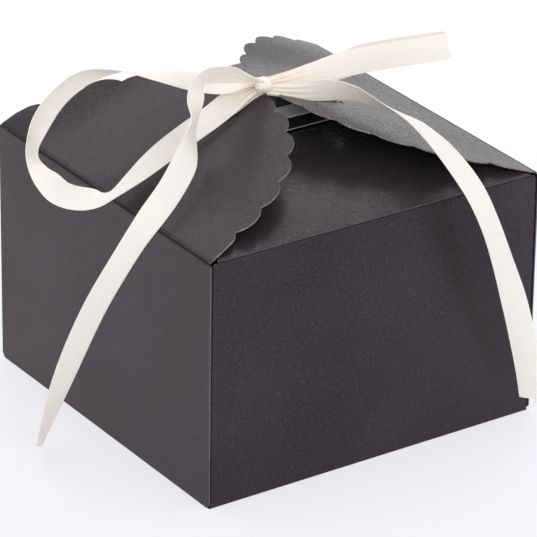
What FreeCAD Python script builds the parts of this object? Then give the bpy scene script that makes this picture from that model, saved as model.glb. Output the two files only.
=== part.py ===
"""Square gift box folded from one sheet of black card, its four top flaps tied shut with a ribbon bow.

Millimetres, +Z up, origin at the middle of the underside. The two scalloped flaps fold in from the left
(-X) and the right (+X), over the two plain flaps from the front (-Y) and the back (+Y). Every panel of the
sheet, between its creases, is a piece of its own, and so is every stretch of the ribbon.
"""
import FreeCAD
import Part
import math
import os

from FreeCAD import Vector

# The card box
BOX_WIDTH = 150.0
BOX_HEIGHT = 102.0
CARD = 0.6
CREASE_GAP = 0.1
SEAM_GAP = 0.4

# The glue tabs, which the front and back walls turn round the corners
TAB_REACH = 14.0
TAB_SHOULDER = 8.0
TAB_END_GAP = 2.0

# The scalloped flaps at the left and right
SCALLOPED_TILT = 18.0
SCALLOPED_REACH = 73.7
SCALLOP_RADIUS = 67.3
SCALLOP_RISE = 2.8
SCALLOP_SWEEP = 160.8
SCALLOP_COUNT = 12
ROOT_INSET = 1.0
SHOULDER_REACH = 15.0
SHOULDER_INSET = 5.0

# The ribbon slots in the scalloped flaps
SLOT_TO_HINGE = 47.0
SLOT_OPEN = 2.0
SLOT_END_ROOM = 1.0

# The plain flaps at the front and back
PLAIN_TILT = 3.5
PLAIN_EDGE_GAP = 3.4
PLAIN_CORNER_RELIEF = 3.3
PLAIN_SIDE_SLOPE = 0.56

# The ribbon
RIBBON_WIDTH = 10.0
RIBBON_THICKNESS = 0.4
PINCHED_SHARE = 0.42
PINCH_LENGTH = 26.0
STEPS_PER_SPAN = 4
KNOT_SIZE = Vector(8.0, 8.5, 7.0)
KNOT_CENTRE = Vector(-0.5, 0.0, 129.0)
KNOT_ROUNDING = 2.6

# Routes of the ribbon: points on its middle line, each with the direction across the ribbon there
LEFT_LOOP_ROUTE = [
    ((-3.5, 1, 127.5), (0, 1, 0.2)),
    ((-14, 2, 126.5), (-0.1, 0.9, 0.4)),
    ((-26, 0, 122.5), (-0.2, 0.9, 0.4)),
    ((-40, -2, 118), (-0.2, 0.9, 0.4)),
    ((-54, -6, 114.5), (-0.2, 0.95, 0.3)),
    ((-67, -12, 111), (-0.2, 0.95, -0.1)),
    ((-79, -17, 107.5), (-0.1, 0.6, -0.8)),
    ((-89, -14, 106), (0, 0, -1)),
    ((-95, -1, 105), (0, 0, -1)),
    ((-96, 14, 106), (0.1, -0.1, -1)),
    ((-91, 27, 110), (0.25, -0.25, -0.93)),
    ((-82, 33, 118), (0.55, -0.25, -0.75)),
    ((-73, 35, 127), (0.65, -0.2, -0.7)),
    ((-62, 32, 135), (0.7, 0, -0.7)),
    ((-51, 23, 138), (0.7, 0.6, -0.4)),
    ((-40, 14, 135.5), (0.4, 0.9, 0.1)),
    ((-27, 8, 131.5), (0.3, 0.8, 0.4)),
    ((-15, 4, 130), (0.1, 0.9, 0.3)),
    ((-3.5, 2, 129.5), (0, 1, 0.2)),
]
LEFT_TAIL_ROUTE = [
    ((-3, -1, 131), (0, 0.8, -0.6)),
    ((-12, 0, 135.5), (-0.1, 0.5, -0.86)),
    ((-22, -3, 139.5), (-0.1, 0.55, -0.85)),
    ((-31, -5, 140.5), (0.4, 0.5, -0.75)),
    ((-37, -9, 135), (0.74, 0.3, -0.6)),
    ((-42, -14, 127.5), (0.6, 0.45, -0.65)),
    ((-48, -20, 121.5), (0.7, 0.1, -0.65)),
    ((-56, -27, 117), (0.8, -0.5, -0.35)),
    ((-68, -35, 112), (0.8, -0.5, -0.3)),
    ((-84, -43, 106), (0.8, -0.2, -0.55)),
    ((-94, -41, 91), (0.8, -0.1, -0.55)),
    ((-98, -32, 73), (0.85, -0.1, -0.4)),
    ((-100, -21, 51), (0.85, -0.1, -0.3)),
    ((-102, -12, 30), (0.8, 0.1, -0.2)),
    ((-104, -6, 13), (0.75, 0.4, -0.1)),
    ((-106, -3, 1), (0.7, 0.6, 0)),
]
RIGHT_LOOP_ROUTE = [
    ((3, 0, 129), (0, 0.37, 0.93)),
    ((20, 0.5, 128.5), (0, 0.37, 0.93)),
    ((40, -1, 129.5), (0, 0.37, 0.93)),
    ((60, -4, 129), (0, 0.37, 0.93)),
    ((75, -6, 127.5), (0, 0.37, 0.93)),
    ((84, -6, 126.5), (0, 0.37, 0.93)),
    ((84.5, 0.5, 126), (0, 0.37, 0.93)),
    ((75, 1, 127), (0, 0.37, 0.93)),
    ((60, 3, 128), (0, 0.37, 0.93)),
    ((40, 5.5, 128), (0, 0.37, 0.93)),
    ((20, 6, 128.5), (0, 0.37, 0.93)),
    ((3, 2.5, 129), (0, 0.37, 0.93)),
]
RIGHT_TAIL_ROUTE = [
    ((2, -2.5, 128), (0.2, 0.9, 0.4)),
    ((11, -7, 127), (0.2, 0.9, 0.4)),
    ((18, -10, 126.5), (0.3, 0.85, 0.4)),
    ((25, -14, 126), (0.5, 0.75, 0.4)),
    ((30, -19, 125.5), (0.65, 0.7, 0.2)),
    ((33, -26, 124.5), (0.7, 0.6, -0.3)),
    ((35, -34, 123.5), (0.7, 0.3, -0.6)),
    ((35, -44, 123), (0.55, 0.25, -0.8)),
    ((32, -58, 122), (0.5, 0.3, -0.8)),
    ((32, -69, 119.5), (0.3, 0.35, -0.88)),
    ((34, -79, 113.5), (-0.1, 0.4, -0.9)),
    ((36, -89, 105), (-0.65, 0.35, -0.65)),
    ((41, -93.5, 90.5), (-0.95, 0, -0.3)),
    ((46, -94, 74.5), (-0.95, 0, -0.3)),
    ((52, -92, 58), (-0.95, 0, -0.3)),
    ((59, -89.5, 40), (-0.95, 0, -0.3)),
    ((65, -87, 24.5), (-0.95, 0, -0.25)),
    ((69.5, -84.5, 9), (-0.97, 0, -0.2)),
]
STRAP_ROUTE = [
    ((-3, 0, 126.1), (0, 1, 0)),
    ((-10, 0, 124.5), (0, 1, 0)),
    ((-20, 0, 121.1), (0, 1, 0)),
    ((-27, 0, 118.8), (0, 1, 0)),
    ((-30.7, 0, 117.7), (0, 1, 0)),
    ((-30.6, 0, 116), (0, 1, 0)),
    ((-28.5, 0, 114.8), (0, 1, 0)),
    ((-20, 0, 114.2), (0, 1, 0)),
    ((-7, 0, 114), (0, 1, 0)),
    ((7, 0, 114), (0, 1, 0)),
    ((20, 0, 114.2), (0, 1, 0)),
    ((28.5, 0, 114.8), (0, 1, 0)),
    ((30.6, 0, 116), (0, 1, 0)),
    ((30.7, 0, 117.7), (0, 1, 0)),
    ((27, 0, 118.8), (0, 1, 0)),
    ((20, 0, 121.1), (0, 1, 0)),
    ((10, 0, 124.5), (0, 1, 0)),
    ((3, 0, 126.1), (0, 1, 0)),
]

# Sizes that follow from those above
HALF_WIDTH = BOX_WIDTH / 2
HALF_CARD = CARD / 2
HINGE_OUT = HALF_WIDTH - HALF_CARD
HINGE_HEIGHT = BOX_HEIGHT - HALF_CARD
WALL_TOP = HINGE_HEIGHT - HALF_CARD - CREASE_GAP
INNER_FACE = HALF_WIDTH - CARD


def plate(low, high):
    """A flat-sided block between two opposite corners."""
    size = high - low
    return Part.makeBox(size.x, size.y, size.z, low)


def turned_about_z(shape, angle):
    """A copy of a shape, turned about the box's upright middle line."""
    copy = shape.copy()
    copy.rotate(Vector(0, 0, 0), Vector(0, 0, 1), angle)
    return copy


def base_panel():
    """The bottom of the box, between the four walls."""
    return plate(Vector(-INNER_FACE, -INNER_FACE, 0), Vector(INNER_FACE, INNER_FACE, CARD))


def front_wall():
    """A wall of the full width, whose side folds make the box's corners."""
    return plate(Vector(-HALF_WIDTH, -HALF_WIDTH, 0), Vector(HALF_WIDTH, -INNER_FACE, WALL_TOP))


def left_wall():
    """A wall glued over two tabs, its cut ends a narrow seam away from the corners."""
    end = INNER_FACE - SEAM_GAP
    return plate(Vector(-HALF_WIDTH, -end, 0), Vector(-INNER_FACE, end, WALL_TOP))


def front_left_tab():
    """A glue tab of the front wall, flat against the inside of the left wall, with sloping ends."""
    low = CARD + TAB_END_GAP
    high = WALL_TOP - TAB_END_GAP
    root = -INNER_FACE
    tip = root + TAB_REACH
    outline = [(root, low), (tip, low + TAB_SHOULDER), (tip, high - TAB_SHOULDER), (root, high)]
    corners = [Vector(-INNER_FACE, y, z) for y, z in outline]
    face = Part.Face(Part.makePolygon(corners + corners[:1]))
    return face.extrude(Vector(CARD, 0, 0))


def mirrored_in_x(shape):
    """A copy of a shape, mirrored from left to right."""
    return shape.mirror(Vector(0, 0, 0), Vector(1, 0, 0))


def rolled_root(half_length):
    """The rounded crease at a flap's root, along the hinge, in the flap's own frame."""
    return Part.makeCylinder(HALF_CARD, 2 * half_length, Vector(0, -half_length, 0), Vector(0, 1, 0))


def scalloped_outline():
    """Edges of the scalloped flap in its own frame, where X runs from the hinge to the tip."""
    centre = SCALLOPED_REACH - SCALLOP_RADIUS
    step = math.radians(SCALLOP_SWEEP / SCALLOP_COUNT)
    first = -math.radians(SCALLOP_SWEEP / 2)

    def rim(radius, angle):
        return Vector(centre + radius * math.cos(angle), radius * math.sin(angle), -HALF_CARD)

    root_half = HALF_WIDTH - ROOT_INSET
    shoulder_half = HALF_WIDTH - SHOULDER_INSET
    root_near = Vector(0, -root_half, -HALF_CARD)
    root_far = Vector(0, root_half, -HALF_CARD)
    shoulder_near = Vector(SHOULDER_REACH, -shoulder_half, -HALF_CARD)
    shoulder_far = Vector(SHOULDER_REACH, shoulder_half, -HALF_CARD)
    cusps = [rim(SCALLOP_RADIUS, first + step * i) for i in range(SCALLOP_COUNT + 1)]
    crests = [rim(SCALLOP_RADIUS + SCALLOP_RISE, first + step * (i + 0.5)) for i in range(SCALLOP_COUNT)]
    edges = [Part.makeLine(root_near, shoulder_near), Part.makeLine(shoulder_near, cusps[0])]
    for cusp, crest, following in zip(cusps, crests, cusps[1:]):
        edges.append(Part.Arc(cusp, crest, following).toShape())
    edges.append(Part.makeLine(cusps[-1], shoulder_far))
    edges.append(Part.makeLine(shoulder_far, root_far))
    edges.append(Part.makeLine(root_far, root_near))
    return edges


def ribbon_slot():
    """The block that cuts the ribbon slot through a scalloped flap, in the flap's own frame."""
    half_length = RIBBON_WIDTH / 2 + SLOT_END_ROOM
    low = Vector(SLOT_TO_HINGE - SLOT_OPEN / 2, -half_length, -CARD)
    return plate(low, Vector(SLOT_TO_HINGE + SLOT_OPEN / 2, half_length, CARD))


def hung_at_left(flap, tilt):
    """Put a flap from its own frame on the left hinge, tilted up by its angle."""
    hung = flap.copy()
    hung.rotate(Vector(0, 0, 0), Vector(0, 1, 0), -tilt)
    hung.translate(Vector(-HINGE_OUT, 0, HINGE_HEIGHT))
    return hung


def left_flap():
    """A petal-shaped flap with a scalloped rim and a slot for the ribbon."""
    sheet = Part.Face(Part.Wire(scalloped_outline())).extrude(Vector(0, 0, CARD))
    sheet = sheet.cut(ribbon_slot())
    return hung_at_left(sheet.fuse(rolled_root(HALF_WIDTH - ROOT_INSET)).removeSplitter(), SCALLOPED_TILT)


def plain_flap_at_left():
    """A flap with sloping sides and a straight free edge, made on the left hinge."""
    root_half = HINGE_OUT - PLAIN_CORNER_RELIEF
    reach = HALF_WIDTH - PLAIN_EDGE_GAP / 2
    edge_half = root_half - PLAIN_SIDE_SLOPE * reach
    outline = [(0, -root_half), (reach, -edge_half), (reach, edge_half), (0, root_half)]
    corners = [Vector(x, y, -HALF_CARD) for x, y in outline]
    sheet = Part.Face(Part.makePolygon(corners + corners[:1])).extrude(Vector(0, 0, CARD))
    return hung_at_left(sheet.fuse(rolled_root(root_half)).removeSplitter(), PLAIN_TILT)


def smooth_curve(poles):
    """A clamped curve of the second degree, with the given points as its poles."""
    spans = len(poles) - 2
    curve = Part.BSplineCurve()
    curve.buildFromPolesMultsKnots(poles, [3] + [1] * (spans - 1) + [3], list(range(spans + 1)), False, 2)
    return curve


def gathered_width(distance):
    """Width of the ribbon at a distance from the knot, which gathers it into folds."""
    share = min(distance / PINCH_LENGTH, 1.0)
    return RIBBON_WIDTH * (PINCHED_SHARE + (1 - PINCHED_SHARE) * math.sin(share * math.pi / 2))


def skinned(sections):
    """A solid with ruled sides between neighbouring four-cornered sections, and flat ends."""
    faces = [Part.Face(Part.makePolygon(end + end[:1])) for end in (sections[0], sections[-1])]
    for before, after in zip(sections, sections[1:]):
        for i in range(4):
            edge = Part.makeLine(before[i], before[i - 1])
            following = Part.makeLine(after[i], after[i - 1])
            faces.append(Part.makeRuledSurface(edge, following))
    skin = Part.makeShell(faces)
    skin.sewShape()
    return Part.makeSolid(Part.Shell(skin.Faces))


def ribbon_stretch(name, route, ends_in_knot):
    """A thin strip along a route, gathered where it leaves the knot.

    The first end is always in the knot, and ends_in_knot says whether the last end is too.
    """
    path = smooth_curve([Vector(*point) for point, across in route])
    lean = smooth_curve([Vector(*across) for point, across in route])
    length = path.length()
    steps = STEPS_PER_SPAN * (len(route) - 2)
    sections = []
    travelled = 0.0
    expected = 0.0
    tightest = 0.0
    for i in range(steps + 1):
        place = path.LastParameter * i / steps
        middle = path.value(place)
        along = Vector(*path.tangent(place)[0])
        across = lean.value(place)
        across = (across - along * across.dot(along)).normalize()
        stride = (path.length(0, place) if i else 0.0) - travelled
        travelled += stride
        width = gathered_width(travelled)
        if ends_in_knot:
            width = min(width, gathered_width(length - travelled))
        expected += width * RIBBON_THICKNESS * stride
        tightest = max(tightest, path.curvature(place))
        out = across * (width / 2)
        up = along.cross(across) * (RIBBON_THICKNESS / 2)
        sections.append([middle + out + up, middle - out + up, middle - out - up, middle + out - up])
    strip = skinned(sections)
    print(f"{name}: length {length:.1f}, least bend radius {1 / tightest:.1f}, valid {strip.isValid()}")
    print(f"{name}: volume {strip.Volume:.1f}, section times length {expected:.1f}")
    return strip


def ribbon_knot():
    """The knot that gathers the loops, the tails and the strap, with well-rounded edges."""
    block = plate(KNOT_CENTRE - KNOT_SIZE / 2, KNOT_CENTRE + KNOT_SIZE / 2)
    return block.makeFillet(KNOT_ROUNDING, block.Edges)


def all_pieces():
    """Every piece of the box and its ribbon, by name."""
    near_left_tab = front_left_tab()
    near_right_tab = mirrored_in_x(near_left_tab)
    flap = left_flap()
    plain = plain_flap_at_left()
    return {
        "base_panel": base_panel(),
        "front_wall": front_wall(),
        "back_wall": turned_about_z(front_wall(), 180),
        "left_wall": left_wall(),
        "right_wall": turned_about_z(left_wall(), 180),
        "front_left_tab": near_left_tab,
        "front_right_tab": near_right_tab,
        "back_left_tab": turned_about_z(near_right_tab, 180),
        "back_right_tab": turned_about_z(near_left_tab, 180),
        "left_flap": flap,
        "right_flap": turned_about_z(flap, 180),
        "front_flap": turned_about_z(plain, 90),
        "back_flap": turned_about_z(plain, -90),
        "ribbon_knot": ribbon_knot(),
        "ribbon_left_loop": ribbon_stretch("left loop", LEFT_LOOP_ROUTE, True),
        "ribbon_right_loop": ribbon_stretch("right loop", RIGHT_LOOP_ROUTE, True),
        "ribbon_left_tail": ribbon_stretch("left tail", LEFT_TAIL_ROUTE, False),
        "ribbon_right_tail": ribbon_stretch("right tail", RIGHT_TAIL_ROUTE, False),
        "ribbon_strap": ribbon_stretch("strap", STRAP_ROUTE, True),
    }


os.makedirs("parts", exist_ok=True)
for node, shape in all_pieces().items():
    shape.exportStep(os.path.join("parts", node + ".step"))
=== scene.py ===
"""Black card gift box with scalloped flaps, tied shut with a cream satin bow.

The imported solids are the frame, in metres, with +Z up and the origin under the middle of the box. The
scalloped flaps fold in from the left (-X) and the right (+X), over the plain flaps from the front (-Y)
and the back (+Y).
"""

import bisect
import logging
import math
from dataclasses import dataclass
from enum import Enum

import bmesh
import bpy
from bmesh.types import BMEdge, BMesh
from bpy.types import Material, Node, NodeSocket, NodeTree, Object
from mathutils import Matrix, Vector, noise


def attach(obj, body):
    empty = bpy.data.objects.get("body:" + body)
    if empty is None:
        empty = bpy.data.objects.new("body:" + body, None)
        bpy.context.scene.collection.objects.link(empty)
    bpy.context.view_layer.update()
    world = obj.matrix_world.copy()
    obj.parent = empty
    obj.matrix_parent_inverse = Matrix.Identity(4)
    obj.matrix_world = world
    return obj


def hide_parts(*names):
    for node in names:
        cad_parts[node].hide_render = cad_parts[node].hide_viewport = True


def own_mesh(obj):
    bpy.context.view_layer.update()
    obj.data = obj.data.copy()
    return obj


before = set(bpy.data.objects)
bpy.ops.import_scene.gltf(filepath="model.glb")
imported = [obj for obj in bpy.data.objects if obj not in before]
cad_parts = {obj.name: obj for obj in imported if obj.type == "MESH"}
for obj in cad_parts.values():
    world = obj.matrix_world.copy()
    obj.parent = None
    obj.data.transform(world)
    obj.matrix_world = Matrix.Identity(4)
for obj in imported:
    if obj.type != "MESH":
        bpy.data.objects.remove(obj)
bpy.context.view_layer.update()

LOG = logging.getLogger("gift_box")
# Per-vertex layer of paler broken folds with a painted highlight, painted shade in scored creases, and
# painted shade in the ribbon's gathered folds
WEAR_AND_PAINTED_LIGHT_LAYER = "wear_and_painted_light"
RIBBON_UV = "ribbon"

MM = 0.001
# Distance within which two places count as one
TOUCH = 1e-6
# Angle from which an edge shades as a sharp one
SHARP = math.radians(40)
# Share of a scored crease's painted shade on the card beside it
SHADE_BESIDE_CREASE = 0.7

Triple = tuple[float, float, float]
RoutePoint = tuple[Triple, Triple]
Feed = NodeSocket | float | tuple[float, ...]


class Side(Enum):
    """A side of the box, with the turn about Z that brings the left side there, in degrees."""

    LEFT = 0.0
    FRONT = 90.0
    RIGHT = 180.0
    BACK = 270.0

    @property
    def turn(self) -> Matrix:
        """The turn that brings a piece made at the left side to this one."""
        return Matrix.Rotation(math.radians(self.value), 4, "Z")


class Crease(Enum):
    """How a fold is painted, as a share of the mesh's layer: paler broken fibres with a painted highlight,
    plain, or darker with painted shade in a scored crease.
    """

    RUBBED_HIGHLIT = 1.0
    PLAIN = 0.0
    PRESSED_SHADE = -1.0


class FarEnd(Enum):
    """What a stretch of ribbon ends in."""

    CUT = "bare"
    KNOT = "knot"


class Lay(Enum):
    """How a stretch of ribbon lies."""

    LOOSE = "loose"
    HANGING = "hanging"
    TAUT = "taut"


def held(value: float) -> float:
    """The number, held between 0 and 1."""
    return min(max(value, 0.0), 1.0)


def eased(part: float) -> float:
    """A share from 0 to 1, with a soft start and a soft end."""
    return part * part * (3 - 2 * part)


# Finishes


@dataclass
class NodeBoard:
    """A shader tree, with short ways to put nodes on it.

    Attributes:
        tree: The tree of a material, of a node group or of the world.
    """

    tree: NodeTree

    def feed(self, node: Node, feeds: dict[str | int, Feed]) -> None:
        """Join a node's inputs to sockets, or set them to plain values.

        Args:
            node: The node.
            feeds: What each input gets, by the input's name or number.
        """
        for key, value in feeds.items():
            if isinstance(value, NodeSocket):
                self.tree.links.new(value, node.inputs[key])
            else:
                node.inputs[key].default_value = value

    def add(self, kind: str, feeds: dict[str | int, Feed] | None = None) -> Node:
        """Put a node on the board.

        Args:
            kind: The kind of shader node.
            feeds: What its inputs get.

        Returns:
            The node.
        """
        node = self.tree.nodes.new("ShaderNode" + kind)
        self.feed(node, feeds or {})
        return node

    def number(self, operation: str, *values: Feed, clamp: bool = False) -> NodeSocket:
        """Work out a number.

        Args:
            operation: What is done with the values.
            values: The numbers that go in.
            clamp: Whether the result is held between 0 and 1.

        Returns:
            The result's socket.
        """
        node = self.add("Math", dict(enumerate(values)))
        node.operation = operation
        node.use_clamp = clamp
        return node.outputs["Value"]

    def added(self, first: NodeSocket, second: NodeSocket, share: float) -> NodeSocket:
        """Add a share of the second number to the first."""
        return self.number("MULTIPLY_ADD", second, share, first)

    def ranged(self, value: NodeSocket, limits: dict[str, float] | None = None) -> NodeSocket:
        """Map a number from one range to another, both from 0 to 1 where no other limit is given."""
        return self.add("MapRange", {"Value": value, **(limits or {})}).outputs["Result"]

    def blend(self, share: NodeSocket, first: Feed, second: Feed, clamp: bool = True) -> NodeSocket:
        """Blend two colours.

        Args:
            share: The second colour's share.
            first: The first colour.
            second: The second colour.
            clamp: Whether the share is held between 0 and 1.

        Returns:
            The blended colour's socket.
        """
        node = self.add("Mix")
        node.data_type = "RGBA"
        node.clamp_factor = clamp
        self.feed(node, {"Factor": share, "A": first, "B": second})
        return node.outputs["Result"]

    def wear_and_painted_light(self) -> NodeSocket:
        """Read the mesh's layer of paler broken folds, painted highlight and painted shade.

        Returns:
            The layer's socket.
        """
        node = self.add("Attribute")
        node.attribute_name = WEAR_AND_PAINTED_LIGHT_LAYER
        return node.outputs["Fac"]

    def background_rays(self) -> NodeSocket:
        """Tell the rays that show the background, straight, in a gloss or through glass, from light's rays.

        Returns:
            The socket that gives one for the rays that show the background.
        """
        path = self.add("LightPath")
        seen = path.outputs["Is Camera Ray"]
        for kind in ("Is Glossy Ray", "Is Transmission Ray"):
            seen = self.number("MAXIMUM", seen, path.outputs[kind])
        return seen


def new_material(name: str) -> tuple[Material, NodeBoard, Node]:
    """Start a node material.

    Args:
        name: Name of the material.

    Returns:
        The material, its board and its Principled shader.
    """
    made = bpy.data.materials.new(name)
    made.use_nodes = True
    return made, NodeBoard(made.node_tree), made.node_tree.nodes["Principled BSDF"]


def fibre_group() -> NodeTree:
    """The card's fibres: fine specks, short crossing hairs, slow clouds and a few pale flecks.

    Returns:
        The shader node group, built on the first call.
    """
    name = "card_fibres"
    if name in bpy.data.node_groups:
        return bpy.data.node_groups[name]
    group = bpy.data.node_groups.new(name, "ShaderNodeTree")
    group.interface.new_socket("Vector", in_out="INPUT", socket_type="NodeSocketVector")
    for output in ("Tone", "Wear", "Height"):
        group.interface.new_socket(output, in_out="OUTPUT", socket_type="NodeSocketFloat")
    board = NodeBoard(group)
    where = group.nodes.new("NodeGroupInput").outputs["Vector"]
    leave = group.nodes.new("NodeGroupOutput")

    def grain(scale: float, detail: float, stretch: Triple = (1.0, 1.0, 1.0)) -> NodeSocket:
        """One layer of noise, stretched along the axes."""
        mapped = board.add("Mapping", {"Vector": where, "Scale": stretch}).outputs["Vector"]
        return board.add("TexNoise", {"Vector": mapped, "Scale": scale, "Detail": detail}).outputs["Fac"]

    specks = grain(scale=800.0, detail=3.0)
    hairs = grain(scale=320.0, detail=2.0, stretch=(1.0, 1.0, 4.0))
    strands = grain(scale=320.0, detail=2.0, stretch=(4.0, 4.0, 1.0))
    clouds = grain(scale=22.0, detail=3.0)
    hairy = board.added(board.added(specks, hairs, share=0.2), strands, share=0.2)
    mixed = board.added(hairy, clouds, share=0.5)
    tone = board.ranged(mixed, {"From Min": 0.75, "From Max": 1.15})
    flecks = board.ranged(grain(scale=600.0, detail=0.0), {"From Min": 0.77, "From Max": 0.82})
    board.feed(leave, {
        "Tone": board.added(tone, flecks, share=1.5),
        "Wear": board.ranged(hairs, {"From Min": 0.25, "From Max": 0.75, "To Min": 0.35}),
        "Height": board.added(specks, hairs, share=0.15),
    })
    return group


@dataclass(frozen=True)
class CardFinish:
    """Charcoal card with fine fibres, paler where it is cut, paler along folds with broken fibres and a
    painted highlight, and darker with painted shade in scored creases.

    Attributes:
        name: Name of the material.
        dark: Colour of the card between its fibres.
        pale: Colour of the card's fibres.
        worn_highlit: Colour where a fold has broken the card's fibres, also a painted highlight along the
            fold.
        crease_shade: Painted shade colour in and beside a scored crease.
        roughness: Middle roughness of the surface.
        swing: How far the fibres change the roughness.
        dulled: How much rougher the card is in a scored crease.
        relief: Strength of the fibres' relief.
        sheen: Strength of the fibres' pale sheen at a low angle.
    """

    name: str
    dark: Triple
    pale: Triple
    # Colour of folds with broken fibres, also a painted highlight
    worn_highlit: Triple
    # Painted shade colour for scored creases
    crease_shade: Triple = (0.008, 0.0055, 0.0075)
    roughness: float = 0.3
    swing: float = 0.08
    dulled: float = 0.3
    relief: float = 0.1
    sheen: float = 0.04

    def material(self) -> Material:
        """Build the material.

        Returns:
            The finished material.
        """
        made, board, shader = new_material(self.name)
        fibres = board.add("Group")
        fibres.node_tree = fibre_group()
        board.feed(fibres, {"Vector": board.add("TexCoord").outputs["Object"]})
        fibre_tone = fibres.outputs["Tone"]
        tone = board.blend(fibre_tone, (*self.dark, 1.0), (*self.pale, 1.0), clamp=False)
        creased = board.wear_and_painted_light()
        # Paler broken fibres with a painted highlight along folds, from the layer's positive values, broken
        # up by the fibres
        pale_and_highlit = board.number("MULTIPLY", board.ranged(creased), fibres.outputs["Wear"])
        colour = board.blend(pale_and_highlit, tone, (*self.worn_highlit, 1.0))
        # Painted shade in and beside scored creases, from the layer's negative values
        crease_shade = board.ranged(creased, {"From Max": Crease.PRESSED_SHADE.value})
        swings = {"To Min": self.roughness + self.swing, "To Max": self.roughness - self.swing}
        gloss = board.ranged(fibre_tone, swings)
        feeds = {"Strength": self.relief, "Distance": 0.15 * MM, "Height": fibres.outputs["Height"]}
        board.feed(shader, {
            "Base Color": board.blend(crease_shade, colour, (*self.crease_shade, 1.0)),
            "Roughness": board.number("MULTIPLY_ADD", crease_shade, self.dulled, gloss, clamp=True),
            "Specular IOR Level": 0.25,
            "Specular Tint": (1.0, 0.8, 0.96, 1.0),
            "Sheen Weight": self.sheen,
            "Sheen Roughness": 0.5,
            "Normal": board.add("Bump", feeds).outputs["Normal"],
        })
        return made


@dataclass(frozen=True)
class SatinFinish:
    """Cream satin, with streaks of painted sheen and shade along it, fine weft lines across it and firm
    edges.

    Attributes:
        name: Name of the material.
        shade: Painted shaded tone of the streaks.
        light: Painted lit tone of the streaks, a painted sheen.
        painted_fold_shade: Painted shade colour in the folds that the knot gathers.
        roughness: Middle roughness of the weave.
        swing: How far the streaks change the roughness.
        half_width: Half of the ribbon's full width.
        edge: Width of the woven edge.
        weft: Distance from one weft line to the next.
        glow: How far light travels inside the weave.
    """

    name: str
    shade: Triple
    light: Triple
    # Painted shade colour in the gathered folds
    painted_fold_shade: Triple
    roughness: float = 0.42
    swing: float = 0.07
    half_width: float = 5.0 * MM
    edge: float = 0.55 * MM
    weft: float = 0.5 * MM
    glow: float = 0.75 * MM

    def material(self) -> Material:
        """Build the material.

        Returns:
            The finished material.
        """
        made, board, shader = new_material(self.name)
        where = board.add("UVMap")
        where.uv_map = RIBBON_UV
        streak = board.add("Mapping", {"Vector": where.outputs["UV"], "Scale": (18.0, 1500.0, 1.0)})
        feeds = {"Vector": streak.outputs["Vector"], "Scale": 1.0, "Detail": 3.0}
        silk = board.add("TexNoise", feeds).outputs["Fac"]
        # Painted sheen and shade: the lit and shaded tones blended in streaks along the ribbon
        colour = board.blend(silk, (*self.shade, 1.0), (*self.light, 1.0))
        swings = {"To Min": self.roughness - self.swing, "To Max": self.roughness + self.swing}
        split = board.add("SeparateXYZ", {"Vector": where.outputs["UV"]})
        ribs = board.number("SINE", board.number("MULTIPLY", split.outputs["X"], math.tau / self.weft))
        selvage = board.ranged(board.number("ABSOLUTE", split.outputs["Y"]), {
            "From Min": self.half_width - self.edge,
            "From Max": self.half_width - 0.6 * self.edge,
            "To Max": 2.5,
        })
        height = board.added(board.added(selvage, ribs, share=0.35), silk, share=0.8)
        feeds = {"Strength": 0.25, "Distance": 0.05 * MM, "Height": height}
        board.feed(shader, {
            # Painted shade in the folds that the knot gathers
            "Base Color": board.blend(board.wear_and_painted_light(), colour, (*self.painted_fold_shade, 1.0)),
            "Roughness": board.ranged(silk, swings),
            "Sheen Weight": 0.08,
            "Sheen Roughness": 0.4,
            "Subsurface Weight": 0.85,
            "Subsurface Radius": (1.0, 0.98, 0.95),
            "Subsurface Scale": self.glow,
            "Normal": board.add("Bump", feeds).outputs["Normal"],
        })
        return made


@dataclass(frozen=True)
class FloorFinish:
    """Pale matte floor that fades to white behind the box.

    Attributes:
        name: Name of the material.
        near: Colour of the floor under and before the box.
        far: Colour of the floor well behind the box.
        fade: Places from the front to the back between which it fades.
        paled: Share of the floor's picture that is its plain colour, so that shadows stay faint.
    """

    name: str
    near: Triple
    far: Triple
    fade: tuple[float, float] = (-0.05, 0.45)
    paled: float = 0.65

    def material(self) -> Material:
        """Build the material.

        Returns:
            The finished material.
        """
        made, board, shader = new_material(self.name)
        split = board.add("SeparateXYZ", {"Vector": board.add("TexCoord").outputs["Object"]})
        back = board.ranged(split.outputs["Y"], {"From Min": self.fade[0], "From Max": self.fade[1]})
        colour = board.blend(back, (*self.near, 1.0), (*self.far, 1.0))
        board.feed(shader, {"Base Color": colour, "Roughness": 0.7, "Specular IOR Level": 0.2})
        mixed = board.add("MixShader", {
            "Fac": board.number("MULTIPLY", board.background_rays(), self.paled),
            1: shader.outputs["BSDF"],
            2: board.add("Emission", {"Color": colour}).outputs["Emission"],
        })
        board.feed(made.node_tree.nodes["Material Output"], {"Surface": mixed.outputs["Shader"]})
        return made


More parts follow.
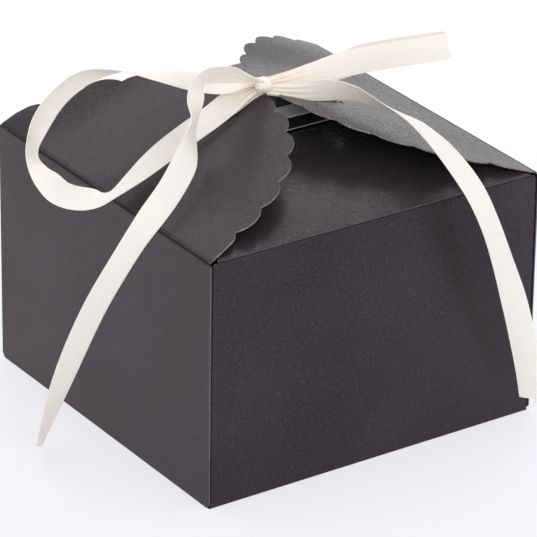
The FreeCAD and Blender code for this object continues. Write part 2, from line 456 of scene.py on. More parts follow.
@dataclass(frozen=True)
class Finishes:
    """The materials that the pieces share.

    Attributes:
        card: The card's faces.
        cut: The scalloped rims.
        seam: The walls' cut edges, painted darker than the flaps' cut edges as shade.
        pale_and_highlit: The plain flaps' cut edges, painted pale as a highlight.
        satin: The ribbon.
    """

    card: Material
    cut: Material
    seam: Material
    pale_and_highlit: Material
    satin: Material

    @classmethod
    def mixed(cls) -> "Finishes":
        """Build every shared material.

        Returns:
            The materials.
        """
        card = CardFinish("black_card", dark=(0.0108, 0.0077, 0.0104), pale=(0.032, 0.0248, 0.0314),
                          worn_highlit=(0.1, 0.093, 0.099))
        edges = (
            ("cut_card", (0.14, 0.132, 0.138), (0.28, 0.268, 0.276)),
            # The walls' cut edges, painted darker as shade
            ("seam_shade_card", (0.06, 0.056, 0.059), (0.13, 0.123, 0.128)),
            # The plain flaps' cut edges, painted pale as a highlight
            ("pale_highlit_edge_card", (0.4, 0.385, 0.395), (0.6, 0.58, 0.59)),
        )
        cut = [CardFinish(name, dark, pale, worn_highlit=pale, roughness=0.75) for name, dark, pale in edges]
        satin = SatinFinish("cream_satin", shade=(0.94, 0.832, 0.745), light=(0.97, 0.88, 0.815),
                            painted_fold_shade=(0.93, 0.76, 0.54))
        return cls(*(finish.material() for finish in (card, *cut, satin)))


# Shared tools for meshes


def finished(bm: BMesh, name: str, materials: list[Material]) -> Object:
    """Turn a bmesh into a smooth-shaded object with sharp corners kept.

    Args:
        bm: The mesh, already in its place. It is freed.
        name: Name of the piece.
        materials: Materials in the order of the faces' indices.

    Returns:
        The object, linked into the scene.
    """
    for face in bm.faces:
        face.smooth = True
    for edge in bm.edges:
        edge.smooth = len(edge.link_faces) == 2 and edge.calc_face_angle(0.0) < SHARP
    mesh = bpy.data.meshes.new(name)
    bm.to_mesh(mesh)
    bm.free()
    for material in materials:
        mesh.materials.append(material)
    piece = bpy.data.objects.new(name, mesh)
    bpy.context.scene.collection.objects.link(piece)
    return piece


def dressed(piece: Object, node: str, body: str) -> None:
    """Put a piece in its solid's place, and report it.

    Args:
        piece: The piece.
        node: Name of the solid that it replaces.
        body: Name of the body that it moves with.
    """
    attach(piece, body)
    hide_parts(node)
    LOG.info("%s: %d faces", piece.name, len(piece.data.polygons))


def rounded(bm: BMesh, edges: list[BMEdge], radius: float, crease: Crease) -> None:
    """Round some edges, and paint the middle of each rounding by the crease's look: paler with a painted
    highlight, or darker with painted shade.

    Args:
        bm: The mesh.
        edges: The edges to round.
        radius: How far the rounding reaches on each side.
        crease: How the rounding looks.
    """
    wear_and_painted_light = bm.verts.layers.float[WEAR_AND_PAINTED_LIGHT_LAYER]
    made = bmesh.ops.bevel(bm, geom=edges, offset=radius, segments=4, profile=0.5, affect="EDGES",
                           material=-1)
    faces = set(made["faces"])
    # Paint each rounding's middle: a painted highlight on paler folds, or painted shade in scored creases
    for vert in {vert for face in faces for vert in face.verts}:
        if all(face in faces for face in vert.link_faces):
            vert[wear_and_painted_light] = crease.value


def clipped(bm: BMesh, edges: list[BMEdge], reach: float) -> None:
    """Cut some corners off straight, and mark the cuts' faces as cut edges.

    Args:
        bm: The mesh.
        edges: The edges at the corners.
        reach: How far each cut reaches from its corner.
    """
    made = bmesh.ops.bevel(bm, geom=edges, offset=reach, segments=1, profile=0.5, affect="EDGES", material=-1)
    for face in made["faces"]:
        face.material_index = 1


def lies_at(edge: BMEdge, axis: int, place: float) -> bool:
    """Whether both ends of an edge lie at a place on an axis, where 0 is X, 1 is Y and 2 is Z."""
    return all(abs(vert.co[axis] - place) < TOUCH for vert in edge.verts)


def square_to(edge: BMEdge, axis: int) -> bool:
    """Whether both ends of an edge lie at the same place on an axis."""
    return lies_at(edge, axis, edge.verts[0].co[axis])


def sliced(bm: BMesh, axis: Vector, places: list[float]) -> None:
    """Cut a mesh along planes square to an axis, so that it can bend or change its painted shade there.

    Args:
        bm: The mesh.
        axis: Direction of the axis.
        places: Where the planes cross it.
    """
    for place in places:
        geometry = bm.verts[:] + bm.edges[:] + bm.faces[:]
        bmesh.ops.bisect_plane(bm, geom=geometry, plane_co=axis * place, plane_no=axis, dist=1e-7)


# The card box


@dataclass(frozen=True)
class BoxSizes:
    """Sizes that the card's panels share, in metres."""

    half_width: float = 75.0 * MM
    height: float = 102.0 * MM
    card: float = 0.6 * MM
    crease_gap: float = 0.02 * MM
    seam_gap: float = 0.3 * MM
    seam_spread: float = 0.4 * MM

    @property
    def hinge(self) -> Vector:
        """A point on the left hinge line."""
        return Vector((self.card / 2 - self.half_width, 0.0, self.height - self.card / 2))

    @property
    def wall_top(self) -> float:
        """Height of the walls' top edges."""
        return self.height - self.card - self.crease_gap


@dataclass
class Wall:
    """A side wall of the box.

    Attributes:
        node: Name of the wall's solid.
        side: Side of the box.
        folded_ends: Whether the wall's ends fold in to tabs, or are cut and glued over those tabs.
        crease: How the crease along the top looks.
        sizes: Sizes shared by the panels.
        corner_clip: Size of the corners cut off the sheet.
        fold_radius: Rounding of the folds.
        crease_depth: How far down from the top the wall is cut, so that a scored crease's painted shade can
            cover its upper half.
    """

    node: str
    side: Side
    folded_ends: bool
    crease: Crease
    sizes: BoxSizes
    corner_clip: float
    fold_radius: float = 0.55 * MM
    crease_depth: float = 1.6 * MM

    def build(self, finishes: Finishes) -> Object:
        """Build the wall at the left side and turn it into its place.

        Args:
            finishes: The shared materials.

        Returns:
            The wall's object.
        """
        sizes = self.sizes
        outer = sizes.half_width
        end = outer - sizes.card - sizes.seam_gap if self.folded_ends else outer
        low = Vector((-outer, -end, 0.0))
        high = Vector((sizes.card - outer, end, sizes.wall_top))
        bm = bmesh.new()
        wear_and_painted_light = bm.verts.layers.float.new(WEAR_AND_PAINTED_LIGHT_LAYER)
        place = Matrix.LocRotScale((low + high) / 2, None, high - low)
        bmesh.ops.create_cube(bm, size=1.0, matrix=place)
        clip_height = sizes.wall_top if self.folded_ends else 0.0
        corners = [edge for edge in bm.edges if lies_at(edge, 2, clip_height) and square_to(edge, 1)]
        # Corner cuts and the glued walls' cut ends take the walls' cut finish, painted darker as shade
        clipped(bm, corners, self.corner_clip)
        for face in bm.faces:
            if not self.folded_ends and abs(face.normal.y) > 0.5:
                face.material_index = 1
        cuts = [sizes.wall_top - share * self.crease_depth for share in (0.3, 0.65, 1.0)]
        sliced(bm, Vector((0, 0, 1)), cuts)
        rounded(bm, [edge for edge in bm.edges if self.is_fold(edge)], self.fold_radius, Crease.PLAIN)
        top = [edge for edge in bm.edges if lies_at(edge, 0, -outer) and lies_at(edge, 2, sizes.wall_top)]
        rounded(bm, top, sizes.card / 2, self.crease)
        for vert in bm.verts:
            depth = sizes.wall_top - vert.co.z
            # Painted shade along the wall's top beside a scored crease
            if self.crease is Crease.PRESSED_SHADE and depth < self.crease_depth / 2:
                vert[wear_and_painted_light] = SHADE_BESIDE_CREASE * self.crease.value
            if self.folded_ends and abs(vert.co.y) > end - 2 * self.fold_radius:
                vert.co.y -= math.copysign(sizes.seam_spread * vert.co.z / sizes.wall_top, vert.co.y)
        bmesh.ops.transform(bm, matrix=self.side.turn, verts=bm.verts)
        return finished(bm, self.node + "_card", [finishes.card, finishes.seam])

    def is_fold(self, edge: BMEdge) -> bool:
        """Whether an edge on the outer face is the fold to the base, or a folded end."""
        fold = self.folded_ends if square_to(edge, 1) else lies_at(edge, 2, 0.0)
        return fold and lies_at(edge, 0, -self.sizes.half_width)

    def dress(self, piece: Object) -> None:
        """Put the wall in its solid's place."""
        dressed(piece, self.node, body="tray")


@dataclass
class Flap:
    """A flap in its own frame, where X runs from the hinge to the free edge.

    Attributes:
        node: Name of the flap's solid, and of its body.
        side: Side of the box that it folds in from.
        tilt: Angle above level, in degrees.
        crease: How the crease along the hinge looks.
        sizes: Sizes shared by the panels.
        lift: How far one end of the flap bows up.
        lift_end: Which end of the hinge is lifted, as -1 or 1 in the flap's own frame.
        lift_from: Where the bow starts, from the middle of the hinge.
        lift_over: Length along the hinge over which it rises.
        lift_reach: Distance from the hinge at which it is full.
        crease_shade_width: Distance from the hinge to which a scored crease's painted shade reaches.
        cell: Distance between the cuts that let the flap bend.
        pale_and_highlit: Whether its cut edges are painted much paler than the other cut edges, as a
            highlight.
    """

    node: str
    side: Side
    tilt: float
    crease: Crease
    sizes: BoxSizes
    lift: float = 0.0
    lift_end: float = 1.0
    lift_from: float = 30.0 * MM
    lift_over: float = 36.0 * MM
    lift_reach: float = 40.0 * MM
    crease_shade_width: float = 1.3 * MM
    cell: float = 6.0 * MM
    pale_and_highlit: bool = False

    def outline(self, bm: BMesh) -> None:
        """Draw the flap's outline and fill it with one face."""
        raise NotImplementedError

    def grid(self) -> tuple[list[float], list[float]]:
        """Place the cuts that let the flap bend.

        Returns:
            Places from the hinge, and places along it.
        """
        places = [self.cell * i for i in range(-12, 13)]
        beside_hinge = [0.6 * MM, 1.2 * MM, 2.0 * MM]
        return beside_hinge + [place for place in places if place > 0], places

    def is_open(self, middle: Vector) -> bool:
        """Whether a place in the flap is cut out."""
        return False

    def bow(self, place: Vector) -> float:
        """How far the flap stands above its flat form at a place.

        Args:
            place: A point in the flap's own frame.

        Returns:
            The height to add.
        """
        along = held((place.y * self.lift_end - self.lift_from) / self.lift_over)
        out = held(place.x / self.lift_reach)
        return self.lift * eased(along) * math.sin(out * math.pi / 2)

    def build(self, finishes: Finishes) -> Object:
        """Build the flap and hang it on its hinge.

        Args:
            finishes: The shared materials.

        Returns:
            The flap's object.
        """
        card = self.sizes.card
        bm = bmesh.new()
        wear_and_painted_light = bm.verts.layers.float.new(WEAR_AND_PAINTED_LIGHT_LAYER)
        self.outline(bm)
        across, along = self.grid()
        sliced(bm, Vector((1, 0, 0)), across)
        sliced(bm, Vector((0, 1, 0)), along)
        cut_out = [face for face in bm.faces if self.is_open(face.calc_center_median())]
        bmesh.ops.delete(bm, geom=cut_out, context="FACES")
        bmesh.ops.recalc_face_normals(bm, faces=bm.faces)
        bmesh.ops.solidify(bm, geom=bm.faces[:], thickness=card)
        middle = sum(vert.co.z for vert in bm.verts) / len(bm.verts)
        bmesh.ops.translate(bm, vec=(0, 0, -middle), verts=bm.verts)
        bmesh.ops.recalc_face_normals(bm, faces=bm.faces)
        for face in bm.faces:
            on_root = face.calc_center_median().x < TOUCH
            face.material_index = 1 if abs(face.normal.z) < 0.3 and not on_root else 0
        root = [edge for edge in bm.edges if lies_at(edge, 0, 0.0) and square_to(edge, 2)]
        rounded(bm, root, 0.48 * card, self.crease)
        for vert in bm.verts:
            # Painted shade beside the hinge of a scored crease
            if self.crease is Crease.PRESSED_SHADE and vert.co.x < self.crease_shade_width:
                vert[wear_and_painted_light] = SHADE_BESIDE_CREASE * self.crease.value
            vert.co.z += self.bow(vert.co)
        hung = Matrix.Translation(self.sizes.hinge) @ Matrix.Rotation(-math.radians(self.tilt), 4, "Y")
        bmesh.ops.transform(bm, matrix=self.side.turn @ hung, verts=bm.verts)
        # The plain flaps' cut edges take the pale finish, painted as a highlight
        edge = finishes.pale_and_highlit if self.pale_and_highlit else finishes.cut
        return finished(bm, self.node + "_card", [finishes.card, edge])

    def dress(self, piece: Object) -> None:
        """Put the flap in its solid's place."""
        dressed(piece, self.node, body=self.node)


@dataclass
class ScallopedFlap(Flap):
    """A petal-shaped flap with a scalloped rim and a slot for the ribbon.

    Attributes:
        reach: Length from the hinge to the notch at the tip.
        rim_radius: Radius of the circle that the notches lie on.
        rise: Height of each scallop over its notches.
        sweep: Angle from the first notch to the last, in degrees.
        scallops: Number of scallops.
        root_half: Half of the length along the hinge.
        shoulder: Far end of the straight side, from the hinge and from the middle.
        shoulder_radius: Rounding of the shoulder.
        slot: Distance of the slot from the hinge, and its half width.
        slot_ends: Places of the slot's ends along the hinge.
    """

    reach: float = 73.7 * MM
    rim_radius: float = 67.3 * MM
    rise: float = 2.8 * MM
    sweep: float = 160.8
    scallops: int = 12
    root_half: float = 74.0 * MM
    shoulder: tuple[float, float] = (15.0 * MM, 70.0 * MM)
    shoulder_radius: float = 3.2 * MM
    slot: tuple[float, float] = (47.0 * MM, 1.0 * MM)
    slot_ends: tuple[float, float] = (-6.0 * MM, 6.0 * MM)

    def rim(self, radius: float, angle: float) -> Vector:
        """A point at an angle on a circle about the rim's centre."""
        centre = self.reach - self.rim_radius
        return Vector((centre + radius * math.cos(angle), radius * math.sin(angle), 0.0))

    def outline(self, bm: BMesh) -> None:
        """Spin each scallop from its first notch, join them to the straight sides, and fill.

        Args:
            bm: The mesh to draw in.
        """
        step = math.radians(self.sweep / self.scallops)
        first = -math.radians(self.sweep / 2)
        for i in range(self.scallops):
            start = self.rim(self.rim_radius, first + step * i)
            stop = self.rim(self.rim_radius, first + step * (i + 1))
            crest = self.rim(self.rim_radius + self.rise, first + step * (i + 0.5))
            chord = (stop - start).length
            height = (crest - (start + stop) / 2).length
            radius = (chord * chord / 4 + height * height) / (2 * height)
            centre = crest + ((start + stop) / 2 - crest).normalized() * radius
            bmesh.ops.spin(bm, geom=[bm.verts.new(start)], cent=centre, axis=(0, 0, 1),
                           angle=2 * math.asin(chord / (2 * radius)), steps=8)
        roots, corners = [], []
        for turn in (-1, 1):
            notch = self.rim(self.rim_radius, turn * math.radians(self.sweep / 2))
            corner = Vector((self.shoulder[0], turn * self.shoulder[1], 0.0))
            root = Vector((0.0, turn * self.root_half, 0.0))
            chain = [bm.verts.new(place) for place in (notch, corner, root)]
            bm.edges.new(chain[:2])
            bm.edges.new(chain[1:])
            corners.append(chain[1])
            roots.append(chain[2])
        bm.edges.new(roots)
        bmesh.ops.remove_doubles(bm, verts=bm.verts, dist=TOUCH)
        bmesh.ops.contextual_create(bm, geom=bm.edges[:])
        bmesh.ops.bevel(bm, geom=corners, offset=self.shoulder_radius, segments=5, profile=0.5,
                        affect="VERTICES", material=-1)

    def grid(self) -> tuple[list[float], list[float]]:
        """Place the cuts that let the flap bend, with the slot's sides among them.

        Returns:
            Places from the hinge, and places along it.
        """
        away, half_open = self.slot
        across, along = super().grid()
        across = [place for place in across if abs(place - away) > 2 * half_open]
        return across + [away - half_open, away + half_open], along + list(self.slot_ends)

    def is_open(self, middle: Vector) -> bool:
        """Whether a place lies in the ribbon's slot."""
        away, half_open = self.slot
        return abs(middle.x - away) < half_open and self.slot_ends[0] < middle.y < self.slot_ends[1]


@dataclass
class PlainFlap(Flap):
    """A flap with sloping sides and a straight free edge.

    Attributes:
        reach: Length from the hinge to the free edge.
        root_half: Half of the length along the hinge.
        slope: How much each side draws in for each length from the hinge.
    """

    reach: float = 73.3 * MM
    root_half: float = 71.4 * MM
    slope: float = 0.56

    def outline(self, bm: BMesh) -> None:
        """Draw the four corners and fill them.

        Args:
            bm: The mesh to draw in.
        """
        near, far = self.root_half, self.root_half - self.slope * self.reach
        corners = ((0, -near), (self.reach, -far), (self.reach, far), (0, near))
        bmesh.ops.contextual_create(bm, geom=[bm.verts.new((x, y, 0)) for x, y in corners])

    def bow(self, place: Vector) -> float:
        """How far the flap stands above its flat form: most in the middle of its length."""
        return self.lift * math.sin(math.pi * held(place.x / self.reach))


@dataclass
class CardBox:
    """The folded sheet: the walls, the flaps, and the panels that hardly show.

    Attributes:
        sizes: Sizes shared by the panels.
    """

    sizes: BoxSizes

    def build(self, finishes: Finishes) -> None:
        """Build the walls and the flaps, and paint the other panels' solids.

        Args:
            finishes: The shared materials.
        """
        sizes = self.sizes
        panels: list[Wall | Flap] = [
            Wall("front_wall", Side.FRONT, True, Crease.RUBBED_HIGHLIT, sizes, 1.2 * MM),
            Wall("back_wall", Side.BACK, True, Crease.RUBBED_HIGHLIT, sizes, 1.2 * MM),
            Wall("left_wall", Side.LEFT, False, Crease.PRESSED_SHADE, sizes, 2.0 * MM),
            Wall("right_wall", Side.RIGHT, False, Crease.PRESSED_SHADE, sizes, 2.0 * MM),
            ScallopedFlap("left_flap", Side.LEFT, 18.7, Crease.PRESSED_SHADE, sizes, lift=2.4 * MM,
                          lift_from=46.0 * MM, lift_over=22.0 * MM, lift_reach=12.0 * MM,
                          reach=73.2 * MM, slot_ends=(-4.8 * MM, 7.0 * MM)),
            ScallopedFlap("right_flap", Side.RIGHT, 18.0, Crease.PRESSED_SHADE, sizes, lift=4.2 * MM,
                          lift_end=-1.0, slot=(47.0 * MM, 1.2 * MM), slot_ends=(-6.0 * MM, 8.0 * MM)),
            PlainFlap("front_flap", Side.FRONT, 3.5, Crease.RUBBED_HIGHLIT, sizes, lift=3.0 * MM, pale_and_highlit=True),
            PlainFlap("back_flap", Side.BACK, 3.5, Crease.RUBBED_HIGHLIT, sizes, lift=3.0 * MM, pale_and_highlit=True),
        ]
        for panel in panels:
            panel.dress(panel.build(finishes))
        for name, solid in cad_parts.items():
            if name == "base_panel" or name.endswith("_tab"):
                solid.data.materials.clear()
                solid.data.materials.append(finishes.card)
                LOG.info("%s: painted solid", name)


# The ribbon


@dataclass
class RibbonStretch:
    """A stretch of ribbon that leaves the knot and lies along a route.

    Attributes:
        node: Name of the stretch's solid.
        route: Points on the ribbon's middle line with the direction across it, in millimetres.
        far_end: What its far end is.
        lay: How it lies.
        slant: How much shorter one edge is cut than the other, at a free end.
        half_width: Half of the ribbon's width.
        thickness: Thickness of the ribbon.
        gathered: Share of the width left where the knot gathers it.
        gather_length: Distance from the knot over which the ribbon spreads out.
        fold: Height of the folds where the knot gathers it.
        fold_shade: Share of the painted shade colour in the folds where the knot gathers the ribbon.
        cup: How far the edges stand above the middle where the ribbon is open.
        strands: Number of steps across the ribbon.
    """

    node: str
    route: list[RoutePoint]
    far_end: FarEnd
    lay: Lay
    slant: float = 0.0
    half_width: float = 5.0 * MM
    thickness: float = 0.28 * MM
    gathered: float = 0.42
    gather_length: float = 16.0 * MM
    fold: float = 0.4 * MM
    fold_shade: float = 0.45
    cup: float = 0.18 * MM
    strands: int = 14

    def smooth_line(self, points: list[Triple], scale: float) -> list[Vector]:
        """Read points along the smooth curve that a list of points controls.

        Args:
            points: The curve's control points.
            scale: Factor on them.

        Returns:
            Points along the curve, in order.
        """
        curve = bpy.data.curves.new(self.node + "_line", "CURVE")
        curve.dimensions = "3D"
        curve.resolution_u = 12
        spline = curve.splines.new("NURBS")
        spline.points.add(len(points) - 1)
        for control, point in zip(spline.points, points):
            control.co = (*(Vector(point) * scale), 1.0)
        spline.order_u = 3
        spline.use_endpoint_u = True
        holder = bpy.data.objects.new(self.node + "_line", curve)
        line = [vert.co.copy() for vert in holder.to_mesh().vertices]
        bpy.data.objects.remove(holder)
        bpy.data.curves.remove(curve)
        return line

    def gather(self, distance: float) -> float:
        """How open the ribbon is, from 0 in the knot to 1, at a distance from it."""
        return eased(held(distance / self.gather_length))

    def build(self, finishes: Finishes) -> tuple[Object, list[Vector]]:
        """Lay a strip along the route.

        Args:
            finishes: The shared materials.

        Returns:
            The strip's object and the points that it follows.
        """
        line = self.smooth_line([point for point, across in self.route], MM)
        leans = self.smooth_line([across for point, across in self.route], 1.0)
        count = len(line)
        travelled = [0.0]
        for before, after in zip(line, line[1:]):
            travelled.append(travelled[-1] + (after - before).length)
        length = travelled[-1]
        acrosses, normals = [], []
        for i, lean in enumerate(leans):
            along = (line[min(i + 1, count - 1)] - line[max(i - 1, 0)]).normalized()
            across = (lean - along * lean.dot(along)).normalized()
            acrosses.append(across)
            normals.append(along.cross(across))
        bm = bmesh.new()
        fold_shade_layer = bm.verts.layers.float.new(WEAR_AND_PAINTED_LIGHT_LAYER)
        uv = bm.loops.layers.uv.new(RIBBON_UV)
        bmesh.ops.create_grid(bm, x_segments=count - 1, y_segments=self.strands, size=1.0)
        for vert in bm.verts:
            step = travelled[round((vert.co.x + 1) / 2 * (count - 1))]
            out = vert.co.y
            short = self.slant * (1 - out) / 2 if self.slant >= 0 else -self.slant * (1 + out) / 2
            distance = step * (length - short) / length
            for loop in vert.link_loops:
                loop[uv].uv = (distance, out * self.half_width)
            spread = self.gather(distance)
            if self.far_end is FarEnd.KNOT:
                spread = min(spread, self.gather(length - distance))
            # Painted shade in the folds where the knot gathers the ribbon
            vert[fold_shade_layer] = self.fold_shade * (1 - spread) ** 2
            i = min(max(bisect.bisect_right(travelled, distance) - 1, 0), count - 2)
            part = (distance - travelled[i]) / (travelled[i + 1] - travelled[i])
            middle, across, normal = (row[i].lerp(row[i + 1], part) for row in (line, acrosses, normals))
            width = self.half_width * (self.gathered + (1 - self.gathered) * spread)
            wave = math.cos(3.2 * math.pi * out + 0.6)
            bowl = out * out - 0.4
            height = self.fold * (1 - spread) * wave + self.cup * spread * bowl
            vert.co = middle + across * (out * width) + normal * height
        piece = finished(bm, self.node + "_satin", [finishes.satin])
        body = piece.modifiers.new("thickness", "SOLIDIFY")
        body.thickness = self.thickness
        body.offset = 0.0
        return piece, line

    def dress(self, piece: Object, line: list[Vector], knot: Object) -> None:
        """Put the strip in its solid's place.

        Args:
            piece: The strip's object.
            line: The points that it follows. Not used.
            knot: The knot that it leaves. Not used.
        """
        dressed(piece, self.node, body="ribbon")


@dataclass
class Knot:
    """The knot: a gathered wrap of ribbon round the strands.

    Attributes:
        node: Name of the knot's solid.
        centre: Middle of the knot.
        half_height: Half of its height.
        half_depth: Half of its depth.
        profile: Places along the knot, in millimetres, with its share of the full girth there.
    """

    node: str = "ribbon_knot"
    centre: Triple = (-2.2 * MM, 0.0, 128.8 * MM)
    half_height: float = 3.3 * MM
    half_depth: float = 3.9 * MM
    profile: tuple[tuple[float, float], ...] = (
        (-3.5, 0.0), (-3.5, 0.4), (-3.3, 0.66), (-2.8, 0.86), (-2.2, 0.95), (-1.6, 0.85), (-0.9, 0.99),
        (-0.1, 1.0), (0.5, 0.86), (1.1, 0.98), (1.8, 0.96), (2.4, 0.82), (2.9, 0.7), (3.2, 0.4), (3.2, 0.0),
    )

    def build(self, finishes: Finishes) -> Object:
        """Spin the profile about the strands, flatten it, and let its folds wander.

        Args:
            finishes: The shared materials.

        Returns:
            The knot's object.
        """
        bm = bmesh.new()
        uv = bm.loops.layers.uv.new(RIBBON_UV)
        chain = [bm.verts.new((x * MM, 0.0, -girth)) for x, girth in self.profile]
        edges = [bm.edges.new(pair) for pair in zip(chain, chain[1:])]
        bmesh.ops.spin(bm, geom=chain + edges, cent=(0, 0, 0), axis=(1, 0, 0), angle=math.tau,
                       steps=36, use_merge=True)
        bmesh.ops.remove_doubles(bm, verts=bm.verts, dist=TOUCH)
        bmesh.ops.recalc_face_normals(bm, faces=bm.faces)
        for vert in bm.verts:
            x, y, z = vert.co
            turn = math.atan2(y, -z)
            for loop in vert.link_loops:
                loop[uv].uv = (turn * self.half_depth, x)
            wander = 0.45 * MM * math.sin(turn + 0.8) + 0.2 * MM * math.sin(2 * turn)
            swell = 1.0 + 0.06 * noise.noise(Vector((x * 300, y * 1.5, z * 1.5)))
            narrow = 1.0 - 0.35 * max(-z, 0.0)
            vert.co = (x * narrow + wander, y * swell * self.half_depth, z * swell * self.half_height)
        bmesh.ops.translate(bm, vec=self.centre, verts=bm.verts)
        piece = finished(bm, self.node + "_satin", [finishes.satin])
        smooth = piece.modifiers.new("smooth", "SUBSURF")
        smooth.levels = 1
        smooth.render_levels = 1
        return piece

    def dress(self, piece: Object) -> None:
        """Put the knot in its solid's place."""
        dressed(piece, self.node, body="ribbon")


def even_route(across: Triple, *points: Triple) -> list[RoutePoint]:
    """A route on which the direction across the ribbon stays the same."""
    return [(point, across) for point in points]


LEFT_LOOP_ROUTE: list[RoutePoint] = [
    ((-3.5, 1, 127.5), (0, -1, -0.2)),
    ((-14, 0.5, 126.2), (0.1, -0.9, -0.4)),
    ((-26, -2.5, 122.3), (0.2, -0.9, -0.4)),
    ((-40, -4.5, 118.3), (0.2, -0.9, -0.4)),
    ((-54, -7.5, 114.2), (0.2, -0.95, -0.3)),
    ((-67, -12, 110.2), (0.15, -0.98, 0.1)),
    ((-79, -17, 107.8), (0.05, -0.9, 0.45)),
    ((-89, -14, 107), (-0.6, -0.58, -0.55)),
    ((-94, -3, 106), (-0.76, -0.1, -0.64)),
    ((-93, 8, 106.8), (-0.92, 0, -0.35)),
    ((-92, 19, 109), (-0.85, 0.1, 0.45)),
    ((-89.5, 28, 113), (-0.5, -0.25, 0.82)),
    ((-82, 33, 119.5), (-0.6, 0.02, 0.8)),
    ((-73, 35, 127.5), (-0.65, -0.15, 0.7)),
    ((-62, 32, 135.5), (-0.7, -0.15, 0.65)),
    ((-51, 23, 138.5), (-0.7, -0.6, 0.4)),
    ((-40, 14, 136.8), (-0.4, -0.9, -0.1)),
    ((-27, 8, 133), (-0.3, -0.8, -0.5)),
    ((-15, 4, 130), (-0.1, -0.9, -0.3)),
    ((-3.5, 2, 129.5), (0, -1, -0.2)),
]
LEFT_TAIL_ROUTE: list[RoutePoint] = [
    ((-3, -1, 130), (0, 0.8, -0.6)),
    ((-12, 0, 134), (-0.1, 0.5, -0.86)),
    ((-22, -3, 139), (-0.1, 0.55, -0.85)),
    ((-32.5, -5, 141.5), (0.4, 0.5, -0.75)),
    ((-39.5, -9.5, 136), (0.88, 0, -0.5)),
    ((-42.5, -14, 127.5), (0.45, 0.62, -0.62)),
    ((-48, -20, 121.5), (0.7, 0.1, -0.65)),
    ((-56, -27, 117), (0.8, -0.5, -0.35)),
    ((-68, -35, 112), (0.8, -0.5, -0.3)),
    ((-84, -43, 106), (0.8, -0.2, -0.55)),
    ((-94, -41, 91), (0.8, -0.1, -0.55)),
    ((-98, -32, 73), (0.85, -0.1, -0.4)),
    ((-100, -21, 51), (0.85, -0.1, -0.3)),
    ((-102, -12, 30), (0.8, 0.1, -0.2)),
    ((-104, -6, 13), (0.75, 0.4, -0.1)),
    ((-106, -3, 1), (0.7, 0.6, 0)),
]
RIGHT_LOOP_ROUTE = even_route(
    (0, 0.37, 0.93),
    (0, 0, 128.7), (20, 0, 128.6), (40, -1, 129.4), (60, -4, 129.3), (75, -6, 128.7),
    (83, -6, 128.3), (83.5, 0.5, 126.7), (75, 1.5, 126.8), (60, 2.5, 127.8), (46, 3.2, 128.6),
    (39.5, 3.4, 126.6), (32, 3.8, 126.1), (18, 4.2, 126.4), (0, 2, 128.4),
)
RIGHT_TAIL_ROUTE: list[RoutePoint] = [
    ((-1.5, -2, 127.6), (0.1, 0.4, 0.9)),
    ((10, -6.5, 125.4), (0.15, 0.15, 0.98)),
    ((18, -10, 125.8), (-0.05, -0.05, 1)),
    ((25, -14, 125.5), (-0.2, -0.35, 0.93)),
    ((30, -19, 124.4), (-0.4, -0.35, 0.85)),
    ((33, -26, 123), (-0.6, -0.3, 0.75)),
    ((35, -34, 122.5), (-0.78, -0.16, 0.6)),
    ((35.5, -44, 123.1), (-0.9, 0.05, 0.42)),
    ((34, -55, 123.2), (-0.93, 0.03, 0.37)),
    ((34, -67, 120.3), (-0.97, -0.1, 0.17)),
    ((35, -78, 114.5), (-0.98, -0.13, 0)),
    ((36, -88, 107.5), (-0.96, -0.24, -0.13)),
    ((40.2, -92.5, 94), (-0.92, -0.3, -0.22)),
    ((46.2, -94, 75), (-0.94, -0.1, -0.32)),
    ((53.2, -92, 58), (-0.88, 0.38, -0.25)),
    ((59.5, -89.5, 40), (-0.85, 0.5, -0.15)),
    ((65, -87, 24.5), (-0.85, 0.5, -0.15)),
    ((69.5, -84.5, 9), (-0.85, 0.5, -0.1)),
]
STRAP_ROUTE = even_route(
    (0, 1, 0),
    (-3, 0, 126.1), (-10, 0.5, 124.5), (-20, 1, 121.1), (-27, 1, 118.8), (-30.7, 1, 117.7),
    (-30.6, 1, 116), (-28.5, 1, 114.8), (-20, 1, 114.2), (-7, 1.5, 114), (7, 1.5, 114),
    (20, 1, 114.2), (28.5, 0, 114.8), (30.6, 0, 116), (30.7, 0, 117.7), (27, 0, 118.8),
    (20, 0, 121.1), (10, 0, 124.5), (0, 0, 126.3),
)


@dataclass
class Bow:
    """The ribbon: its knot, its loops, its tails, and the strap through the flaps' slots."""

    def build(self, finishes: Finishes) -> None:
        """Build the knot and every stretch of the ribbon.

        Args:
            finishes: The shared materials.
        """
        knot = Knot()
        tied = knot.build(finishes)
        knot.dress(tied)
        stretches = [
            RibbonStretch("ribbon_left_loop", LEFT_LOOP_ROUTE, FarEnd.KNOT, Lay.LOOSE, cup=0.8 * MM),
            RibbonStretch("ribbon_right_loop", RIGHT_LOOP_ROUTE, FarEnd.KNOT, Lay.LOOSE,
                          gather_length=38 * MM, fold=0.25 * MM),
            RibbonStretch("ribbon_left_tail", LEFT_TAIL_ROUTE, FarEnd.CUT, Lay.HANGING, slant=6 * MM,
                          gather_length=24 * MM),
            RibbonStretch("ribbon_right_tail", RIGHT_TAIL_ROUTE, FarEnd.CUT, Lay.HANGING, slant=-4 * MM,
                          gather_length=28 * MM),
            RibbonStretch("ribbon_strap", STRAP_ROUTE, FarEnd.KNOT, Lay.TAUT, fold=0.1 * MM),
        ]
        for stretch in stretches:
            piece, line = stretch.build(finishes)
            stretch.dress(piece, line, tied)
            if stretch.node == "ribbon_strap":
                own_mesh(piece)


# The studio


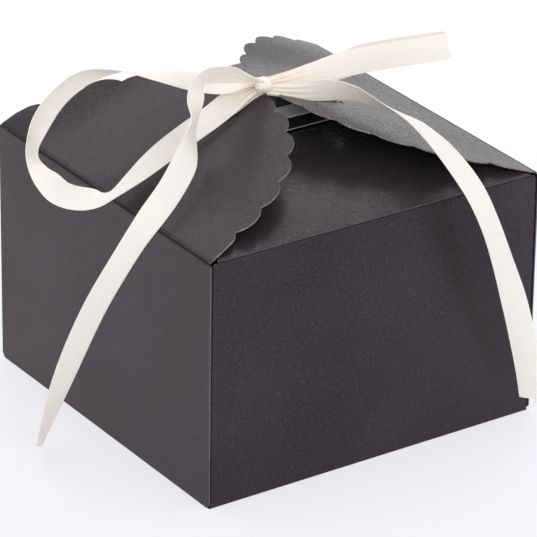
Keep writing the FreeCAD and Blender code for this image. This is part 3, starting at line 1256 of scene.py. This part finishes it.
@dataclass
class Studio:
    """Floor, soft light and camera.

    Attributes:
        azimuth: Direction that the camera looks from, in degrees from the front.
        elevation: Height of the camera above level, in degrees.
        roll: Turn of the picture, in degrees.
        distance: Distance from the camera to the point that it looks at.
        target: The point's place to the camera's right and its height.
        lens: Focal length for a 36 mm picture.
        floor_drop: How far the floor lies below the box, so that their faces don't meet.
        aim: The point that the lamps are turned to.
        all_round: Strength of the even light from all round, beside a white background's 1.
    """

    azimuth: float = -34.338
    elevation: float = 25.853
    roll: float = 0.818
    distance: float = 1.6638
    target: tuple[float, float] = (1.537 * MM, 50.274 * MM)
    lens: float = 285.4
    floor_drop: float = 0.02 * MM
    aim: Triple = (0.0, 0.0, 0.08)
    all_round: float = 0.88

    def build(self) -> None:
        """Lay the floor, hang the lamps and set up the camera."""
        self.lay_floor()
        self.hang_lamps()
        self.set_camera()
        bpy.context.scene.view_settings.view_transform = "Standard"

    def lay_floor(self) -> None:
        """Lay a wide pale floor just under the box."""
        finish = FloorFinish("pale_floor", (0.96, 0.945, 0.99), (1.0, 1.0, 1.0))
        bm = bmesh.new()
        bmesh.ops.create_grid(bm, x_segments=1, y_segments=1, size=6.0,
                              matrix=Matrix.Translation((0, 0, -self.floor_drop)))
        floor = finished(bm, "floor", [finish.material()])

    def hang_lamps(self) -> None:
        """Hang the soft lamps, and set the even light from all round."""
        self.lamp("top", (0.0, 0.3, 1.5), size=1.2, power=2.5)
        self.lamp("back", (0.48, 1.1, 0.9), size=1.15, power=2.6)
        self.lamp("low_back", (0.95, 1.1, 0.25), size=1.0, power=0.6)
        self.lamp("front", (-0.3, -1.5, 0.8), size=1.0, power=5.8)
        world = bpy.data.worlds.new("studio")
        bpy.context.scene.world = world
        world.use_nodes = True
        board = NodeBoard(world.node_tree)
        level = board.ranged(board.background_rays(), {"To Min": self.all_round, "To Max": 1.0})
        light = world.node_tree.nodes["Background"]
        board.feed(light, {"Color": (1.0, 1.0, 1.0, 1.0), "Strength": level})

    def lamp(self, name: str, place: Triple, size: float, power: float) -> None:
        """Hang one square lamp that points at the box.

        Args:
            name: Name of the lamp.
            place: Its place.
            size: Length of its sides.
            power: Its power, in watts.
        """
        data = bpy.data.lights.new(name, "AREA")
        data.size = size
        data.energy = power
        holder = bpy.data.objects.new(name, data)
        holder.location = place
        toward = Vector(self.aim) - Vector(place)
        holder.rotation_euler = toward.to_track_quat("-Z", "Y").to_euler()
        bpy.context.scene.collection.objects.link(holder)

    def set_camera(self) -> None:
        """Set the camera at the photograph's angle."""
        turn = Matrix.Rotation(math.radians(self.azimuth), 4, "Z")
        rise = Matrix.Rotation(math.radians(90 - self.elevation), 4, "X")
        roll = Matrix.Rotation(math.radians(self.roll), 4, "Z")
        aside, height = self.target
        aimed = turn @ Matrix.Translation((aside, 0, height)) @ rise
        data = bpy.data.cameras.new("camera")
        data.sensor_width = 36.0
        data.lens = self.lens
        data.clip_end = 50.0
        camera = bpy.data.objects.new("camera", data)
        camera.matrix_world = aimed @ Matrix.Translation((0, 0, self.distance)) @ roll
        bpy.context.scene.collection.objects.link(camera)
        bpy.context.scene.camera = camera


def main() -> None:
    """Build the studio, the bow and the box."""
    logging.basicConfig(level=logging.INFO, format="%(message)s")
    finishes = Finishes.mixed()
    Studio().build()
    Bow().build(finishes)
    CardBox(BoxSizes()).build(finishes)


if __name__ == "__main__":
    main()
